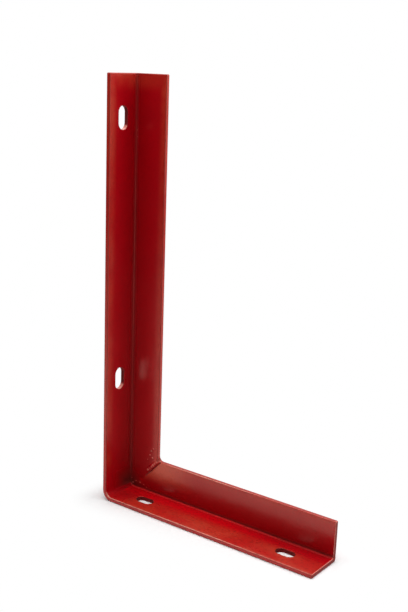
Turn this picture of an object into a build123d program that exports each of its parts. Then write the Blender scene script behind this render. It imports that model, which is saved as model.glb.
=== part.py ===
from build123d import *
from math import sqrt
import os

# Folded and welded steel angle bracket, in millimetres.
# It is one length of angle section. The web is notched to a V, the screwed flange is folded
# round the heel, and the notch closes to a mitre that is welded on the front of the web.
# It is drawn with the web's back in the plane y = 0, the wall plane at x = 0 and the underside
# at z = 0. At the end it moves to its own frame: the origin at the middle of the wall slots, on
# the wall plane, with +X away from the wall and +Z up.

# Legs, measured outside from the heel
wall_leg = 300.0
shelf_leg = 175.0

# Angle section: the screwed flange and the web, both measured outside
flange_width = 30.0
web_depth = 28.4
steel = 3.0
back_radius = 2.0
root_radius = 0.8

# Fold: outside of the heel, and the inner corner of the web
heel_radius = 7.5
throat_radius = 3.5

# Cut ends and free edges
corner_radius = 0.8
edge_radius = 0.6

# Slots, with their long axis along each leg
wall_slot_width = 9.0
wall_slot_length = 16.0
top_slot_from_end = 29.0
wall_slot_spacing = 182.0
shelf_slot_width = 8.0
shelf_slot_length = 14.0
shelf_slot_from_wall = 28.5
shelf_slot_spacing = 118.5
slot_rim_radius = 0.2

# Weld bead at the throat end of the mitre, and the joint line left open at its back
bead_length = 11.0
bead_width = 4.0
bead_height = 1.2
ripple_pitch = 2.2
bead_end_margin = 1.6
joint_line_depth = 0.4

# Worked out from the sizes above
slot_line = (steel + flange_width) / 2
top_slot_height = wall_leg - top_slot_from_end
wall_slots_middle = top_slot_height - wall_slot_spacing / 2
shelf_slots_middle = shelf_slot_from_wall + shelf_slot_spacing / 2
slot_cut_depth = 2 * steel
mitre_angle = 45.0
quarter_turn = 90.0
half_turn = 180.0
# On the mitre x equals z: there, the flange's inner face and the bottom of the throat
root_on_mitre = heel_radius - (heel_radius - steel) / sqrt(2)
throat_on_mitre = web_depth + throat_radius - throat_radius / sqrt(2)
# An edge that follows the fold lies nearer than this to the wall plane or the underside
fold_zone = web_depth / 3
# A smooth seam has its two faces' normals in line
smooth_cosine = 0.95


def folded_flange():
    """The screwed flange: a strip of the steel folded round the heel, with round free corners."""
    outside = FilletPolyline((0, wall_leg), (0, 0), (shelf_leg, 0), radius=heel_radius)
    inside = FilletPolyline(
        (steel, wall_leg), (steel, steel), (shelf_leg, steel), radius=heel_radius - steel
    )
    top_end = Line((0, wall_leg), (steel, wall_leg))
    shelf_end = Line((shelf_leg, 0), (shelf_leg, steel))
    strip = Plane.XZ * make_face([outside, inside, top_end, shelf_end])
    flange = extrude(strip, flange_width)
    free_side = flange.edges().group_by(Axis.Y)[0]
    top_corner = free_side.filter_by(Axis.X).sort_by(Axis.Z)[-1]
    shelf_corner = free_side.filter_by(Axis.Z).sort_by(Axis.X)[-1]
    return fillet([top_corner, shelf_corner], corner_radius)


def mitred_web():
    """The web of both legs as it is after the notch closes: an L plate with a rounded throat."""
    plate = make_face(
        FilletPolyline(
            (0, wall_leg),
            (0, 0),
            (shelf_leg, 0),
            (shelf_leg, web_depth),
            (web_depth, web_depth),
            (web_depth, wall_leg),
            radius=[0, heel_radius, 0, corner_radius, throat_radius, corner_radius],
            close=True,
        )
    )
    return extrude(Plane.XZ * plate, steel)


def follows_fold(edge):
    """True for an edge that runs along the flange and round the heel."""
    middle = edge @ 0.5
    return min(middle.X, middle.Z) < fold_zone


def sharp_edges(solid):
    """The edges where two faces meet at an angle, without the smooth seams."""
    normals = {}
    for face in solid.faces():
        for edge in face.edges():
            normals.setdefault(edge, []).append(face.normal_at(edge @ 0.5))
    return [edge for edge, pair in normals.items() if pair[0].dot(pair[-1]) < smooth_cosine]


def rounded_angle():
    """Flange and web in one, with the section's corners and every cut edge rounded."""
    angle = folded_flange() + mitred_web()
    back = angle.edges().group_by(Axis.Y)[-1].filter_by(follows_fold)
    angle = fillet(back, back_radius)
    root = [
        edge
        for edge in sharp_edges(angle)
        if follows_fold(edge) and abs((edge @ 0.5).Y + steel) < edge_radius
    ]
    angle = fillet(root, root_radius)
    return fillet(sharp_edges(angle), edge_radius)


def slots():
    """The cutters of the two wall slots and the two shelf slots."""
    wall_slot = Plane.YZ * Rotation(0, 0, quarter_turn) * SlotOverall(wall_slot_length, wall_slot_width)
    shelf_slot = Plane.XY * SlotOverall(shelf_slot_length, shelf_slot_width)
    wall_cutter = extrude(wall_slot, slot_cut_depth, both=True)
    shelf_cutter = extrude(shelf_slot, slot_cut_depth, both=True)
    half_wall = wall_slot_spacing / 2
    half_shelf = shelf_slot_spacing / 2
    return [
        Pos(0, -slot_line, wall_slots_middle + half_wall) * wall_cutter,
        Pos(0, -slot_line, wall_slots_middle - half_wall) * wall_cutter,
        Pos(shelf_slots_middle - half_shelf, -slot_line, 0) * shelf_cutter,
        Pos(shelf_slots_middle + half_shelf, -slot_line, 0) * shelf_cutter,
    ]


def joint_line():
    """The cutter of the fine V that stays open along the back of the mitre."""
    length = (throat_on_mitre - root_on_mitre) * sqrt(2)
    side = joint_line_depth * sqrt(2)
    bar = Rotation(mitre_angle, 0, 0) * Box(length, side, side)
    middle = (root_on_mitre + throat_on_mitre) / 2
    return Pos(middle, 0, middle) * Rotation(0, -mitre_angle, 0) * bar


def weld_bead():
    """The short rippled bead on the front of the mitre, run in from the throat."""
    half_width = bead_width / 2
    ripple_radius = (half_width**2 + bead_height**2) / (2 * bead_height)
    ripple_y = ripple_radius - bead_height - steel
    half_ball = Rotation(0, 0, half_turn) * Sphere(ripple_radius, arc_size3=half_turn, align=None)
    last = throat_on_mitre - (edge_radius + bead_end_margin) / sqrt(2)
    first = last - bead_length / sqrt(2)
    steps = round(bead_length / ripple_pitch)
    ripples = []
    for step in range(steps + 1):
        on_mitre = first + (last - first) * step / steps
        ripples.append(Pos(on_mitre, ripple_y, on_mitre) * half_ball)
    return ripples


slotted = rounded_angle() - slots()
slotted = fillet(sharp_edges(slotted), slot_rim_radius)
bracket = slotted - joint_line() + weld_bead()
angle_bracket = Pos(0, slot_line, -wall_slots_middle) * bracket

os.makedirs("parts", exist_ok=True)
export_step(angle_bracket, "parts/angle_bracket.step")
print("volume in mm3:", round(angle_bracket.volume))
print("valid:", angle_bracket.is_valid, "solids:", len(angle_bracket.solids()))
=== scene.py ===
"""A red painted steel angle bracket, standing on its shorter leg on a pale floor."""

from math import cos, radians, sin

import bmesh
import bpy
from mathutils import Matrix, Vector


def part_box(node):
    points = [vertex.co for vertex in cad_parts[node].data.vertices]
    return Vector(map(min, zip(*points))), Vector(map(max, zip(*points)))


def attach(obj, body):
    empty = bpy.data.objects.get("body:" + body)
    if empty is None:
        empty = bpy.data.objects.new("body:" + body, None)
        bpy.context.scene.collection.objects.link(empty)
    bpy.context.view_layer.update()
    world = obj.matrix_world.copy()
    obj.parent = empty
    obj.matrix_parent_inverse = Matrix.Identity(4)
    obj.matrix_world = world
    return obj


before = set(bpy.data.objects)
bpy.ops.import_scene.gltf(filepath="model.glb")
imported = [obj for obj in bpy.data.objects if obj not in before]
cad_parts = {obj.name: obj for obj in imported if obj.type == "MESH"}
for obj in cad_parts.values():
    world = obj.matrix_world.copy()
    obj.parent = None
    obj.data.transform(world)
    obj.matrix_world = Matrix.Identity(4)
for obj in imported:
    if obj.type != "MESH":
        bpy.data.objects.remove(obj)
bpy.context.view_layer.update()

NODE = "angle_bracket"
LOW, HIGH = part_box(NODE)
MM = 0.001

# The camera: a short telephoto lens, to the right of the bracket's front and a little above it
CAMERA_AZIMUTH = radians(36.387)
CAMERA_ELEVATION = radians(14.056)
CAMERA_ROLL = radians(1.996)
CAMERA_PLACE = Vector((0.44274, -0.49916, 0.12984))
CAMERA_LENS = 57.75

# Lights: the world rises from its horizon to its zenith strength over this range of height, and
# mirrored rays see it white where they point behind the bracket
WORLD_STRENGTH = (0.03, 0.1)
WORLD_RISE = (0.1, 0.8)
WORLD_BEHIND = (-0.1, 0.3)
# Each lamp: name, side in metres, watts, place
LAMPS = (
    ("overhead", 1.2, 5.8, Vector((-0.12, -0.02, 0.64))),
    ("over_shelf", 0.5, 2.5, Vector((0.15, -0.05, 0.5))),
    ("behind_right", 0.8, 3.4, Vector((0.45, 0.5, 0.5))),
)

# The floor: its colour, and how much of its white is its own glow. The camera sees little of the
# glow under the bracket, where its shadow lies. The glow for mirrored rays ends further out.
FLOOR_SIZE = 2.4
FLOOR_COLOUR = (0.9, 0.9, 0.9, 1)
FLOOR_ROUGHNESS = 0.8
FLOOR_SEEN_GLOW = (0.05, 1.0)
FLOOR_MIRRORED_GLOW = 0.8
SEEN_GLOW_GROWS = (-0.002, 0.025)
GLOW_GROWS = (-0.01, 0.055)
GLOW_GOES = (0.1, 0.5)

# The paint's reds: darker in the corners as painted shade, on open faces, and lighter beside the shelf's
# web as painted light
PAINT_CORNER_SHADE = (0.34, 0.0004, 0.0045, 1)
PAINT_RED = (0.46, 0.0010, 0.0065, 1)
PAINT_SHELF_LIGHT = (0.66, 0.0012, 0.0065, 1)
# On the shelf an orange, partly rubbed paint and partly a painted sheen; a painted sheen on the wall leg; a
# painted highlight on edges
PAINT_RUBBED_AND_SHEEN = (0.47, 0.032, 0.014, 1)
PAINT_LEG_SHEEN = (0.55, 0.048, 0.022, 1)
PAINT_EDGE_HIGHLIGHT = (0.88, 0.38, 0.29, 1)
# Painted shade on the slots' walls; a brown for painted shade in the corner, under the bead and on edges, a
# dark cut end, and real grit
PAINT_SLOT_SHADE = (0.15, 0.0003, 0.0030, 1)
PAINT_SHADE_AND_DIRT = (0.085, 0.0030, 0.0025, 1)
# A painted highlight on weld metal that stands proud, and a painted sheen on the web beside the weld
PAINT_BEAD_HIGHLIGHT = (0.74, 0.15, 0.12, 1)
PAINT_WEB_SHEEN = (0.75, 0.115, 0.060, 1)

# Its gloss and relief. Each relief is a strength and a height in metres.
PAINT_ROUGHNESS = (0.19, 0.27)
PAINT_IOR = 1.5
GLOSS_LEVEL = 1.0
GLOSS_TINT = (1.0, 0.50, 0.40, 1)
PEEL_RELIEF = (0.12, 0.0001)
WAVES_RELIEF = (0.3, 0.0004)

# Noises: waves to the metre, detail, and stretch along x, y and z
EVEN = (1, 1, 1)
COATS = (60.0, 4.0, EVEN)
PATCHES = (70.0, 6.0, (0.5, 1, 1))
HIGHLIGHT_BREAKS = (300.0, 3.0, (0.6, 1, 1))
GRIT = (520.0, 3.0, EVEN)
GLOSS_PATCHES = (25.0, 3.0, EVEN)
PEEL = (800.0, 2.0, EVEN)
WAVES = (45.0, 1.0, EVEN)

# Sizes and levels on the bracket that the paint and the spatter follow, in metres
STEEL = 3 * MM
WEB_DEPTH = 28.4 * MM
WEB_FRONT = HIGH.y - STEEL
WEB_SIDE = LOW.x + WEB_DEPTH
WEB_TOP = LOW.z + WEB_DEPTH
FLANGE_FACE = LOW.x + STEEL
SHELF_FACE = LOW.z + STEEL

# Beads of weld spatter left on the web under the paint: x, z and radius of each, in mm. The first
# line lies beside the weld, the second along the heel, and the third holds strays.
SPATTER = (
    (22.4, 34.8, 0.7), (21.1, 31.4, 0.6), (23.6, 29.7, 0.8), (24.3, 36.9, 0.5), (19.0, 27.5, 0.4),
    (5.4, 5.6, 0.6), (8.3, 7.7, 0.55), (12.2, 7.2, 0.7), (15.5, 6.6, 0.5), (4.4, 9.0, 0.4),
    (18.4, 5.4, 0.4), (3.9, 262.4, 0.3), (4.1, 258.0, 0.25),
)
SPATTER_FLATNESS = 0.6
SPATTER_SUBDIVISIONS = 3


def node_of(tree, kind, **values):
    """Adds a shader node, sets the named inputs, and returns it."""
    node = tree.nodes.new("ShaderNode" + kind)
    for name, value in values.items():
        node.inputs[name.replace("_", " ")].default_value = value
    return node


def work(tree, operation, *values, clamp=False):
    """The result of a Math node, given sockets or numbers."""
    node = tree.nodes.new("ShaderNodeMath")
    node.operation = operation
    node.use_clamp = clamp
    for socket, value in zip(node.inputs, values):
        if isinstance(value, bpy.types.NodeSocket):
            tree.links.new(value, socket)
        else:
            socket.default_value = value
    return node.outputs["Value"]


def times(tree, first, *others):
    """The product of several sockets or numbers."""
    for other in others:
        first = work(tree, "MULTIPLY", first, other)
    return first


def greatest(tree, first, *others):
    """The greatest of several sockets."""
    for other in others:
        first = work(tree, "MAXIMUM", first, other)
    return first


def add_values(tree, first, second):
    """The sum of two sockets, held between 0 and 1."""
    return work(tree, "ADD", first, second, clamp=True)


def past(tree, value, level):
    """How far a coordinate lies past a level, below 0 before it."""
    return work(tree, "SUBTRACT", value, level)


def off_plane(tree, value, level):
    """How far a coordinate lies from a level, on either side of it."""
    return work(tree, "ABSOLUTE", past(tree, value, level))


def remainder(tree, share):
    """What a share leaves of 1."""
    return work(tree, "SUBTRACT", 1.0, share)


def smooth_step(tree, value, reach, result=(0, 1)):
    """A socket's value, turned smoothly from one range into another and held at its ends."""
    node = tree.nodes.new("ShaderNodeMapRange")
    node.interpolation_type = "SMOOTHSTEP"
    node.inputs["From Min"].default_value = reach[0]
    node.inputs["From Max"].default_value = reach[1]
    node.inputs["To Min"].default_value = result[0]
    node.inputs["To Max"].default_value = result[1]
    tree.links.new(value, node.inputs["Value"])
    return node.outputs["Result"]


def grows(tree, value, level, reach, result=(0, 1)):
    """Turns from the first result to the second over a reach in mm, counted from a level in metres."""
    start, end = reach
    return smooth_step(tree, value, (level + start * MM, level + end * MM), result)


def fades(tree, value, level, reach, most=1):
    """Falls from its most to 0 over a reach in mm, counted from a level in metres."""
    return grows(tree, value, level, reach, (most, 0))


def split(tree, vector):
    """The x, y and z of a vector."""
    node = tree.nodes.new("ShaderNodeSeparateXYZ")
    tree.links.new(vector, node.inputs["Vector"])
    return node.outputs["X"], node.outputs["Y"], node.outputs["Z"]


def mixed(tree, factor, first, second):
    """Two colours mixed; each is a socket or a colour."""
    node = tree.nodes.new("ShaderNodeMix")
    node.data_type = "RGBA"
    tree.links.new(factor, node.inputs["Factor"])
    for name, value in (("A", first), ("B", second)):
        socket = [item for item in node.inputs if item.name == name and item.type == "RGBA"][0]
        if isinstance(value, bpy.types.NodeSocket):
            tree.links.new(value, socket)
        else:
            socket.default_value = value
    return [item for item in node.outputs if item.type == "RGBA"][0]


def noise(tree, place, kind):
    """The value of one of the noises named above."""
    scale, detail, stretch = kind
    move = tree.nodes.new("ShaderNodeMapping")
    move.inputs["Scale"].default_value = stretch
    tree.links.new(place, move.inputs["Vector"])
    node = node_of(tree, "TexNoise", Scale=scale, Detail=detail)
    tree.links.new(move.outputs["Vector"], node.inputs["Vector"])
    return node.outputs["Fac"]


def from_corner(tree, spot):
    """Distances from the flange's inner face, from the web's front, and from the corner of the two."""
    x, y, z = spot
    from_flange = work(tree, "MINIMUM", past(tree, x, FLANGE_FACE), past(tree, z, SHELF_FACE))
    from_web = work(tree, "SUBTRACT", WEB_FRONT, y)
    both = [work(tree, "ABSOLUTE", value) for value in (from_flange, from_web)]
    return from_flange, from_web, greatest(tree, *both)


# The masks below. A pair of sizes is a reach in mm over which a mask grows or fades. A pair named
# SLOPE is such a reach of the surface normal, and one named SPOTS is a reach of a noise. A pair
# named SHARE holds the results at the two ends of the reach before it.

# The red of the faces: painted shade darkens it into the corner, painted light brightens the
# shelf beside its web, and the rest of the shelf is orange, partly rubbed paint, partly painted sheen
OPEN_FACE = (0, 26)
OPEN_FACE_PART = 0.8
COATS_PART = 0.3
SHELF_SKIN = (0.2, 0.6)
CLEAR_OF_WEB = (6, 17)
SHELF_LIGHT_LENGTH = (80, 150)
SHELF_LIGHT_SHARE = (0.95, 0.3)
RUBBED_AND_SHEEN_SPOTS = (0.3, 0.65)
RUBBED_AND_SHEEN_SPOTS_SHARE = (0.3, 1)
RUBBED_AND_SHEEN_PAST_HEEL = (12, 30)
RUBBED_AND_SHEEN_PAST_HEEL_SHARE = (0.2, 1)


def face_red(tree, place, spot, from_web, corner):
    """The red of the faces with its painted shade and light, and where the shelf's rubbed paint and painted
    sheen lie.
    """
    x, z = spot[0], spot[2]
    # painted shade: the red darkens into the inner corner
    open_face = grows(tree, corner, 0, OPEN_FACE)
    coats = times(tree, noise(tree, place, COATS), COATS_PART)
    lighter = add_values(tree, times(tree, open_face, OPEN_FACE_PART), coats)
    red = mixed(tree, lighter, PAINT_CORNER_SHADE, PAINT_RED)
    on_shelf = fades(tree, off_plane(tree, z, SHELF_FACE), 0, SHELF_SKIN)
    clear_of_web = grows(tree, from_web, 0, CLEAR_OF_WEB)
    # painted light: a lighter red on the shelf beside its web
    before_end = grows(tree, x, LOW.x, SHELF_LIGHT_LENGTH, SHELF_LIGHT_SHARE)
    shelf_light = times(tree, on_shelf, remainder(tree, clear_of_web), before_end)
    red = mixed(tree, shelf_light, red, PAINT_SHELF_LIGHT)
    # orange on the shelf: partly rubbed paint, partly a painted sheen
    patches = noise(tree, place, PATCHES)
    patchy = smooth_step(tree, patches, RUBBED_AND_SHEEN_SPOTS, RUBBED_AND_SHEEN_SPOTS_SHARE)
    past_heel = grows(tree, x, LOW.x, RUBBED_AND_SHEEN_PAST_HEEL, RUBBED_AND_SHEEN_PAST_HEEL_SHARE)
    rubbed_and_sheen = times(tree, patchy, on_shelf, past_heel, clear_of_web)
    red = mixed(tree, rubbed_and_sheen, red, PAINT_RUBBED_AND_SHEEN)
    # a painted sheen on the wall leg's free sides and top
    red = mixed(tree, leg_sheen(tree, z, corner, patches), red, PAINT_LEG_SHEEN)
    return red, rubbed_and_sheen


# A sheen painted on the wall leg
LEG_SHEEN_UPWARDS = (-90, -15)
LEG_SHEEN_UPWARDS_SHARE = (0.4, 0.65)
LEG_SHEEN_ABOVE_SHELF = (14, 34)
LEG_SHEEN_SIDE = (19, 24)
LEG_SHEEN_END = (-14, -1)
LEG_SHEEN_END_SHARE = (0, 0.5)
LEG_SHEEN_SPOTS = (0.3, 0.6)
LEG_SHEEN_SPOTS_SHARE = (0.4, 1)


def leg_sheen(tree, z, corner, patches):
    """A painted sheen on the wall leg, along its free sides and at its cut end, most at the top."""
    leg_top = grows(tree, z, HIGH.z, LEG_SHEEN_UPWARDS, LEG_SHEEN_UPWARDS_SHARE)
    above_shelf = grows(tree, z, LOW.z, LEG_SHEEN_ABOVE_SHELF)
    free_side = times(tree, grows(tree, corner, 0, LEG_SHEEN_SIDE), above_shelf, leg_top)
    cut_end = grows(tree, z, HIGH.z, LEG_SHEEN_END, LEG_SHEEN_END_SHARE)
    spots = smooth_step(tree, patches, LEG_SHEEN_SPOTS, LEG_SHEEN_SPOTS_SHARE)
    return times(tree, greatest(tree, free_side, cut_end), spots)


# Painted shade in the inner corner: a line along it, and more inside the heel
ROOT_LINE = (0.6, 3)
ROOT_LINE_HEIGHT = (10, 45)
ROOT_LINE_SHARE = (0.5, 0.3)
HEEL_SHADE_REACH = (2, 19)
HEEL_SHADE_MOST = 0.8
INSIDE_ANGLE = (-1.0, -0.5)
FACING_UP_SLOPE = (0.25, 0.7)


def crease_shade(tree, spot, from_flange, from_web, corner, up):
    """Painted shade in the inner corner, darkest inside the heel, and none on faces that look up."""
    x, y, z = spot
    low = grows(tree, z, LOW.z, ROOT_LINE_HEIGHT, ROOT_LINE_SHARE)
    line = times(tree, fades(tree, corner, 0, ROOT_LINE), low)
    across = work(tree, "ADD", past(tree, x, FLANGE_FACE), past(tree, z, SHELF_FACE))
    into_heel = greatest(tree, across, off_plane(tree, y, WEB_FRONT))
    inside = grows(tree, work(tree, "MINIMUM", from_flange, from_web), 0, INSIDE_ANGLE)
    heel = times(tree, fades(tree, into_heel, 0, HEEL_SHADE_REACH, HEEL_SHADE_MOST), inside)
    not_facing_up = smooth_step(tree, up, FACING_UP_SLOPE, (1, 0))
    return times(tree, greatest(tree, line, heel), not_facing_up)


# The slots' walls lie near the slots' line and inside the steel, clear of the heel and the ends
SLOT_REACH = (5.0, 5.2)
STEEL_MIDDLE = (1.25, 1.45)
SLOTS_PAST_HEEL = (12, 13)
SLOTS_BEFORE_END = (-3, -2)
WALL_SLOPE = (0.1, 0.6)


def slot_walls(tree, spot, up):
    """The slots' cut walls: those with painted shade, and the wall slots' upward ends, for a painted
    highlight.
    """
    x, y, z = spot
    across = fades(tree, work(tree, "ABSOLUTE", y), 0, SLOT_REACH)
    in_flange = fades(tree, off_plane(tree, x, LOW.x + STEEL / 2), 0, STEEL_MIDDLE)
    in_shelf = fades(tree, off_plane(tree, z, LOW.z + STEEL / 2), 0, STEEL_MIDDLE)
    from_heel = greatest(tree, past(tree, x, LOW.x), past(tree, z, LOW.z))
    past_heel = grows(tree, from_heel, 0, SLOTS_PAST_HEEL)
    below_top = fades(tree, z, HIGH.z, SLOTS_BEFORE_END)
    before_end = fades(tree, x, HIGH.x, SLOTS_BEFORE_END)
    clear = times(tree, across, past_heel, below_top, before_end)
    rises = smooth_step(tree, up, WALL_SLOPE)
    upright = times(tree, in_flange, remainder(tree, rises))
    darkened = times(tree, greatest(tree, upright, in_shelf), clear)
    return darkened, times(tree, in_flange, rises, clear)


# Rounded and cut edges: their width, how their normals turn, and where each painted highlight and shade
# lies
EDGE_WIDTH = (0.7, 1.1)
FLAT_SLOPE = (0.86, 0.985)
UP_SLOPE = (0.1, 0.4)
FRONT_SLOPE = (-0.4, -0.1)
ABOVE_WEB = (2, 8)
CREST_PAST_THROAT = (29, 58)
CREST_PAST_THROAT_SHARE = (0.25, 1)
CREST_MIDDLE = (85, 125)
CREST_MIDDLE_SHARE = (1, 0.4)
HIGHLIGHT_LENGTH = (70, 160)
HIGHLIGHT_LENGTH_SHARE = (1, 0.4)
SIDE_OVER_THROAT = (0.5, 3)
THROAT_PAST_BEAD = (-0.8, 0)
THROAT_LENGTH = (30, 32.5)
THROAT_OVER_BEAD = (0.1, 0.6)
CUT_END_SKIN = (-0.4, -0.2)
CUT_END_SLOPE = (0.85, 0.95)
CUT_TOP_SLOPE = (0.9, 0.97)
CUT_TOP_SLOPE_SHARE = (0, 0.7)


def near(tree, value, level):
    """1 within the width of a rounded edge from a level, and 0 away from it."""
    return fades(tree, off_plane(tree, value, level), 0, EDGE_WIDTH)


def rounded_edges(tree, normal):
    """Where the surface turns away from all three axes."""
    sides = [work(tree, "ABSOLUTE", value) for value in split(tree, normal)]
    return smooth_step(tree, greatest(tree, *sides), FLAT_SLOPE, (1, 0))


def highlighted_edges(tree, spot, normal):
    """Painted highlights on the shelf's edges that face up, and on those of its end."""
    x, y, z = spot
    front, up = split(tree, normal)[1:]
    faces_up = smooth_step(tree, up, UP_SLOPE)
    faces_front = smooth_step(tree, front, FRONT_SLOPE, (1, 0))
    not_above = remainder(tree, grows(tree, z, WEB_TOP, ABOVE_WEB))
    past_throat = grows(tree, x, LOW.x, CREST_PAST_THROAT, CREST_PAST_THROAT_SHARE)
    before_middle = grows(tree, x, LOW.x, CREST_MIDDLE, CREST_MIDDLE_SHARE)
    web_crest = times(tree, near(tree, z, WEB_TOP), past_throat, before_middle)
    level_edges = times(tree, greatest(tree, near(tree, y, LOW.y), web_crest), faces_up, not_above)
    end_edges = times(tree, near(tree, x, HIGH.x), greatest(tree, faces_up, faces_front))
    before_end = grows(tree, x, LOW.x, HIGHLIGHT_LENGTH, HIGHLIGHT_LENGTH_SHARE)
    return times(tree, rounded_edges(tree, normal), greatest(tree, level_edges, end_edges), before_end)


def dark_edges(tree, spot, normal):
    """Painted shade on the other rounded edges, the throat and the web's cut top, and a dark cut end."""
    x, y, z = spot
    turned = split(tree, normal)
    across, up = turned[0], turned[2]
    web_side = times(tree, near(tree, x, WEB_SIDE), grows(tree, z, WEB_TOP, SIDE_OVER_THROAT))
    past_bead = grows(tree, x, WEB_SIDE, THROAT_PAST_BEAD)
    before_crest = fades(tree, x, LOW.x, THROAT_LENGTH)
    throat = times(tree, past_bead, before_crest, grows(tree, z, WEB_TOP, THROAT_OVER_BEAD))
    hanging = times(tree, near(tree, y, LOW.y), remainder(tree, smooth_step(tree, up, UP_SLOPE)))
    shaded_edges = greatest(tree, web_side, throat, hanging, near(tree, z, HIGH.z))
    at_end = grows(tree, x, HIGH.x, CUT_END_SKIN)
    cut_end = times(tree, smooth_step(tree, across, CUT_END_SLOPE), at_end)
    cut_top = times(tree, near(tree, z, WEB_TOP), smooth_step(tree, up, CUT_TOP_SLOPE, CUT_TOP_SLOPE_SHARE))
    return greatest(tree, times(tree, rounded_edges(tree, normal), shaded_edges), cut_end, cut_top)


# The weld bead along the mitre, a painted shadow along its lower foot, and a painted sheen on the web below
# it
BEAD_SIDE = (4.0, 5.0)
BEAD_START = (17, 18)
RIPPLE_GAP_PLACE = 22.4 * MM
RIPPLE_GAP = (0.6, 1.2)
RIPPLE_GAP_SHARE = (0.1, 1)
CREST_HEIGHT = (0.8, 1.15)
FOOT_LINE_PLACE = 3.0 * MM
FOOT_LINE = (0.3, 1.1)
FOOT_HEIGHT = (0.2, 0.7)
WEB_SKIN = (-0.5, -0.3)
WEB_SHEEN_START = (2.8, 4)
WEB_SHEEN_LENGTH = (30, 66)
WEB_SHEEN_MOST = 0.9
WEB_SHEEN_HEIGHT = (9, 21)


def bead_light(tree, spot, from_web):
    """The bead's crests for a painted highlight, a painted shadow along its foot, and a painted sheen below
    it.
    """
    x, z = spot[0], spot[2]
    off_mitre = work(tree, "SUBTRACT", past(tree, x, LOW.x), past(tree, z, LOW.z))
    beside = fades(tree, work(tree, "ABSOLUTE", off_mitre), 0, BEAD_SIDE)
    past_start = grows(tree, x, LOW.x, BEAD_START)
    from_gap = off_plane(tree, x, LOW.x + RIPPLE_GAP_PLACE)
    no_gap = grows(tree, from_gap, 0, RIPPLE_GAP, RIPPLE_GAP_SHARE)
    crest = times(tree, grows(tree, from_web, 0, CREST_HEIGHT), beside, past_start, no_gap)
    on_web = times(tree, fades(tree, from_web, 0, FOOT_HEIGHT), grows(tree, from_web, 0, WEB_SKIN))
    foot_line = fades(tree, off_plane(tree, off_mitre, FOOT_LINE_PLACE), 0, FOOT_LINE)
    # a painted shadow along the bead's lower foot
    painted_shade = times(tree, foot_line, past_start, on_web)
    # a painted sheen on the web below the weld
    below = grows(tree, off_mitre, 0, WEB_SHEEN_START)
    along = fades(tree, x, LOW.x, WEB_SHEEN_LENGTH, WEB_SHEEN_MOST)
    web_sheen = times(tree, below, along, grows(tree, z, LOW.z, WEB_SHEEN_HEIGHT), on_web)
    return crest, painted_shade, web_sheen


# How much of each painted highlight and shade and each kind of wear shows, and how it is broken up
HIGHLIGHT_SPOTS = (0.35, 0.6)
HIGHLIGHT_SPOTS_SHARE = (0.65, 1.0)
BROKEN_SPOTS = (0.4, 0.55)
BROKEN_SPOTS_SHARE = (0.35, 1.0)
GRIT_SPOTS = (0.5, 0.68)
GRIT_SLOPE = (0.5, 0.9)
GRIT_SLOPE_SHARE = (0.12, 0.35)
LIT_WALLS_PART = 0.7
BEAD_SHADOW_PART = 0.6
DARK_EDGES_PART = 0.6


def lit_and_worn_red(tree, place, spot, normal, red, distances):
    """The red with its wear and its painted highlights, sheen and shade, where shade is painted, and what
    is darkened.
    """
    from_flange, from_web, corner = distances
    up = split(tree, normal)[2]
    crest, bead_shadow, web_sheen = bead_light(tree, spot, from_web)
    shaded_walls, lit_walls = slot_walls(tree, spot, up)
    highlight_breaks = noise(tree, place, HIGHLIGHT_BREAKS)
    highlight_share = smooth_step(tree, highlight_breaks, HIGHLIGHT_SPOTS, HIGHLIGHT_SPOTS_SHARE)
    broken = smooth_step(tree, highlight_breaks, BROKEN_SPOTS, BROKEN_SPOTS_SHARE)
    lit_walls = times(tree, lit_walls, LIT_WALLS_PART)
    highlight = times(tree, greatest(tree, highlighted_edges(tree, spot, normal), lit_walls), highlight_share)
    # a painted sheen on the web below the weld
    red = mixed(tree, web_sheen, red, PAINT_WEB_SHEEN)
    # a painted highlight on the bead's crests
    red = mixed(tree, times(tree, crest, broken), red, PAINT_BEAD_HIGHLIGHT)
    # painted highlights on edges and on the wall slots' upward ends
    red = mixed(tree, highlight, red, PAINT_EDGE_HIGHLIGHT)
    # painted shade on the slots' walls
    red = mixed(tree, shaded_walls, red, PAINT_SLOT_SHADE)
    # painted shade in the inner corner
    root = crease_shade(tree, spot, from_flange, from_web, corner, up)
    painted_shade = greatest(tree, root, times(tree, bead_shadow, BEAD_SHADOW_PART))
    # painted shade on edges that face away, and a dark cut end
    darkened = times(tree, dark_edges(tree, spot, normal), DARK_EDGES_PART)
    on_top = smooth_step(tree, up, GRIT_SLOPE, GRIT_SLOPE_SHARE)
    specks = times(tree, smooth_step(tree, noise(tree, place, GRIT), GRIT_SPOTS), on_top)
    # one brown for painted shade, the dark cut end and real specks of grit
    red = mixed(tree, greatest(tree, painted_shade, darkened, specks), red, PAINT_SHADE_AND_DIRT)
    return red, painted_shade, greatest(tree, shaded_walls, darkened)


# Where the gloss is lost: in the dusty corner, most near the heel, and a little on the shelf's rubbed paint
# and sheen
GLOSS_SPOTS = (0.3, 0.7)
DUSTY_LINE = (0.7, 1.6)
DUSTY_HEIGHT = (90, 220)
DUSTY_SHARE = (0.8, 0.2)
RUBBED_AND_SHEEN_DULL_PART = 0.12
DULL_PART = 0.8


def paint_roughness(tree, place, z, corner, painted_shade, darkened, rubbed_and_sheen):
    """A little duller in patches, and dull in the corners and on cut walls."""
    gloss = smooth_step(tree, noise(tree, place, GLOSS_PATCHES), GLOSS_SPOTS, PAINT_ROUGHNESS)
    near_heel = grows(tree, z, LOW.z, DUSTY_HEIGHT, DUSTY_SHARE)
    dusty = times(tree, fades(tree, corner, 0, DUSTY_LINE), near_heel)
    worn = greatest(tree, painted_shade, darkened, times(tree, rubbed_and_sheen, RUBBED_AND_SHEEN_DULL_PART), dusty)
    return add_values(tree, gloss, times(tree, worn, DULL_PART))


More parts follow.
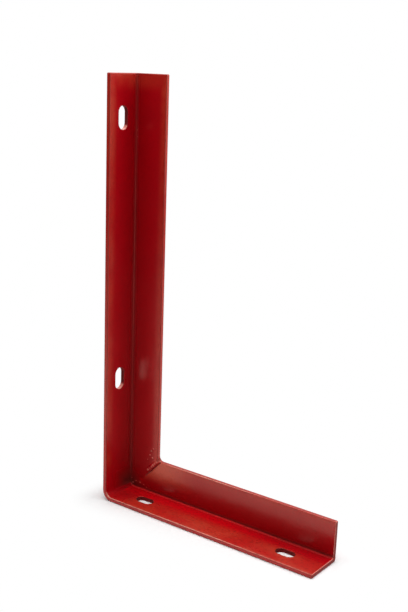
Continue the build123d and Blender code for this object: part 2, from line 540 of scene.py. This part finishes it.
def paint_relief(tree, place):
    """Orange peel from the spray, over the slight waves of rolled steel."""
    link = tree.links.new
    bump = node_of(tree, "Bump", Strength=PEEL_RELIEF[0], Distance=PEEL_RELIEF[1])
    link(noise(tree, place, PEEL), bump.inputs["Height"])
    sway = node_of(tree, "Bump", Strength=WAVES_RELIEF[0], Distance=WAVES_RELIEF[1])
    link(noise(tree, place, WAVES), sway.inputs["Height"])
    link(bump.outputs["Normal"], sway.inputs["Normal"])
    return sway.outputs["Normal"]


def enamel(name):
    """A new material of semi-gloss enamel, and its shader."""
    material = bpy.data.materials.new(name)
    material.use_nodes = True
    shader = material.node_tree.nodes["Principled BSDF"]
    shader.inputs["IOR"].default_value = PAINT_IOR
    shader.inputs["Specular IOR Level"].default_value = GLOSS_LEVEL
    shader.inputs["Specular Tint"].default_value = GLOSS_TINT
    return material, shader


def paint_material():
    """Semi-gloss enamel, sprayed over mill-finish steel, worn by use, with painted highlights, sheen and
    shade.
    """
    material, shader = enamel("red_enamel")
    tree = material.node_tree
    place = tree.nodes.new("ShaderNodeTexCoord").outputs["Object"]
    normal = tree.nodes.new("ShaderNodeNewGeometry").outputs["Normal"]
    spot = split(tree, place)
    distances = from_corner(tree, spot)
    from_web, corner = distances[1:]
    red, rubbed_and_sheen = face_red(tree, place, spot, from_web, corner)
    red, painted_shade, darkened = lit_and_worn_red(tree, place, spot, normal, red, distances)
    roughness = paint_roughness(tree, place, spot[2], corner, painted_shade, darkened, rubbed_and_sheen)
    tree.links.new(red, shader.inputs["Base Color"])
    tree.links.new(roughness, shader.inputs["Roughness"])
    tree.links.new(paint_relief(tree, place), shader.inputs["Normal"])
    return material


def paint_bracket():
    """The bracket takes one paint all over."""
    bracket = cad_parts[NODE]
    bracket.data.materials.clear()
    bracket.data.materials.append(paint_material())


def spatter_material():
    """The same paint, pale all over as a painted highlight."""
    material, shader = enamel("highlighted_enamel")
    # a painted highlight on each small bead
    shader.inputs["Base Color"].default_value = PAINT_BEAD_HIGHLIGHT
    shader.inputs["Roughness"].default_value = PAINT_ROUGHNESS[1]
    return material


def add_spatter():
    """Flattened beads, half sunk into the front of the web."""
    mesh = bpy.data.meshes.new("weld_spatter")
    shape = bmesh.new()
    squash = Matrix.Diagonal((1, SPATTER_FLATNESS, 1, 1))
    for x, z, radius in SPATTER:
        place = Matrix.Translation((LOW.x + x * MM, WEB_FRONT, LOW.z + z * MM)) @ squash
        bmesh.ops.create_icosphere(
            shape, subdivisions=SPATTER_SUBDIVISIONS, radius=radius * MM, matrix=place
        )
    for face in shape.faces:
        face.smooth = True
    shape.to_mesh(mesh)
    shape.free()
    spatter = bpy.data.objects.new("weld_spatter", mesh)
    bpy.context.scene.collection.objects.link(spatter)
    spatter.data.materials.append(spatter_material())
    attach(spatter, "root")


def mirrored_rays(tree, ray):
    """1 for the rays that a gloss or a glass sends on."""
    return add_values(tree, ray.outputs["Is Glossy Ray"], ray.outputs["Is Transmission Ray"])


def floor_material():
    """White paper. The camera and mirrored rays see part of it as its own glow, so it stays white."""
    material = bpy.data.materials.new("pale_floor")
    material.use_nodes = True
    tree = material.node_tree
    link = tree.links.new
    shader = tree.nodes["Principled BSDF"]
    shader.inputs["Base Color"].default_value = FLOOR_COLOUR
    shader.inputs["Roughness"].default_value = FLOOR_ROUGHNESS
    glow = tree.nodes.new("ShaderNodeEmission")
    ray = tree.nodes.new("ShaderNodeLightPath")
    away = distance_from_foot(tree)
    seen_glow = smooth_step(tree, away, SEEN_GLOW_GROWS, FLOOR_SEEN_GLOW)
    grown = smooth_step(tree, away, GLOW_GROWS)
    gone = smooth_step(tree, away, GLOW_GOES, (FLOOR_MIRRORED_GLOW, 0))
    camera_part = times(tree, ray.outputs["Is Camera Ray"], seen_glow)
    mirrored_part = times(tree, mirrored_rays(tree, ray), grown, gone)
    mix = tree.nodes.new("ShaderNodeMixShader")
    link(add_values(tree, camera_part, mirrored_part), mix.inputs["Fac"])
    link(shader.outputs["BSDF"], mix.inputs[1])
    link(glow.outputs["Emission"], mix.inputs[2])
    link(mix.outputs["Shader"], tree.nodes["Material Output"].inputs["Surface"])
    return material


def distance_from_foot(tree):
    """The distance on the floor from the rectangle that the bracket stands on, below 0 inside it."""
    middle = (LOW + HIGH) / 2
    half = (HIGH - LOW) / 2
    place = tree.nodes.new("ShaderNodeNewGeometry").outputs["Position"]
    x, y = split(tree, place)[:2]
    past_x = past(tree, off_plane(tree, x, middle.x), half.x)
    past_y = past(tree, off_plane(tree, y, middle.y), half.y)
    inside = work(tree, "MINIMUM", greatest(tree, past_x, past_y), 0.0)
    squares = [work(tree, "POWER", greatest(tree, side, 0.0), 2.0) for side in (past_x, past_y)]
    outside = work(tree, "SQRT", work(tree, "ADD", *squares))
    return work(tree, "ADD", inside, outside)


def add_floor():
    """The floor that the bracket stands on."""
    bpy.ops.mesh.primitive_plane_add(size=FLOOR_SIZE, location=(0, 0, LOW.z))
    floor = bpy.context.object
    floor.name = "floor"
    floor.data.materials.append(floor_material())


def add_world():
    """Lights faintly from above. The camera sees it white all round, and mirrored rays behind."""
    world = bpy.data.worlds.new("white_room")
    bpy.context.scene.world = world
    world.use_nodes = True
    tree = world.node_tree
    link = tree.links.new
    lit = tree.nodes["Background"]
    y, z = split(tree, tree.nodes.new("ShaderNodeTexCoord").outputs["Generated"])[1:]
    link(smooth_step(tree, z, WORLD_RISE, WORLD_STRENGTH), lit.inputs["Strength"])
    ray = tree.nodes.new("ShaderNodeLightPath")
    backed = times(tree, mirrored_rays(tree, ray), smooth_step(tree, y, WORLD_BEHIND))
    white = tree.nodes.new("ShaderNodeBackground")
    white.inputs["Color"].default_value = (1, 1, 1, 1)
    mix = tree.nodes.new("ShaderNodeMixShader")
    link(add_values(tree, ray.outputs["Is Camera Ray"], backed), mix.inputs["Fac"])
    link(lit.outputs["Background"], mix.inputs[1])
    link(white.outputs["Background"], mix.inputs[2])
    link(mix.outputs["Shader"], tree.nodes["World Output"].inputs["Surface"])


def add_lamps():
    """Large square lamps, each turned towards the middle of the bracket."""
    middle = (LOW + HIGH) / 2
    for name, side, watts, place in LAMPS:
        light = bpy.data.lights.new(name, "AREA")
        light.size = side
        light.energy = watts
        lamp = bpy.data.objects.new(name, light)
        lamp.location = place
        lamp.rotation_euler = (middle - place).to_track_quat("-Z", "Y").to_euler()
        bpy.context.scene.collection.objects.link(lamp)


def add_camera():
    """Turned by its azimuth from straight ahead, down by its elevation, then rolled."""
    azimuth, elevation, roll = CAMERA_AZIMUTH, CAMERA_ELEVATION, CAMERA_ROLL
    ahead = cos(elevation)
    forward = Vector((-sin(azimuth) * ahead, cos(azimuth) * ahead, -sin(elevation)))
    level = Vector((cos(azimuth), sin(azimuth), 0))
    upright = level.cross(forward)
    right = cos(roll) * level + sin(roll) * upright
    up = cos(roll) * upright - sin(roll) * level
    turn = Matrix((right, up, -forward)).transposed().to_4x4()
    data = bpy.data.cameras.new("camera")
    data.lens = CAMERA_LENS
    camera = bpy.data.objects.new("camera", data)
    camera.matrix_world = Matrix.Translation(CAMERA_PLACE) @ turn
    bpy.context.scene.collection.objects.link(camera)
    bpy.context.scene.camera = camera


add_camera()
add_world()
add_lamps()
add_floor()
paint_bracket()
add_spatter()
bpy.context.scene.view_settings.view_transform = "Standard"
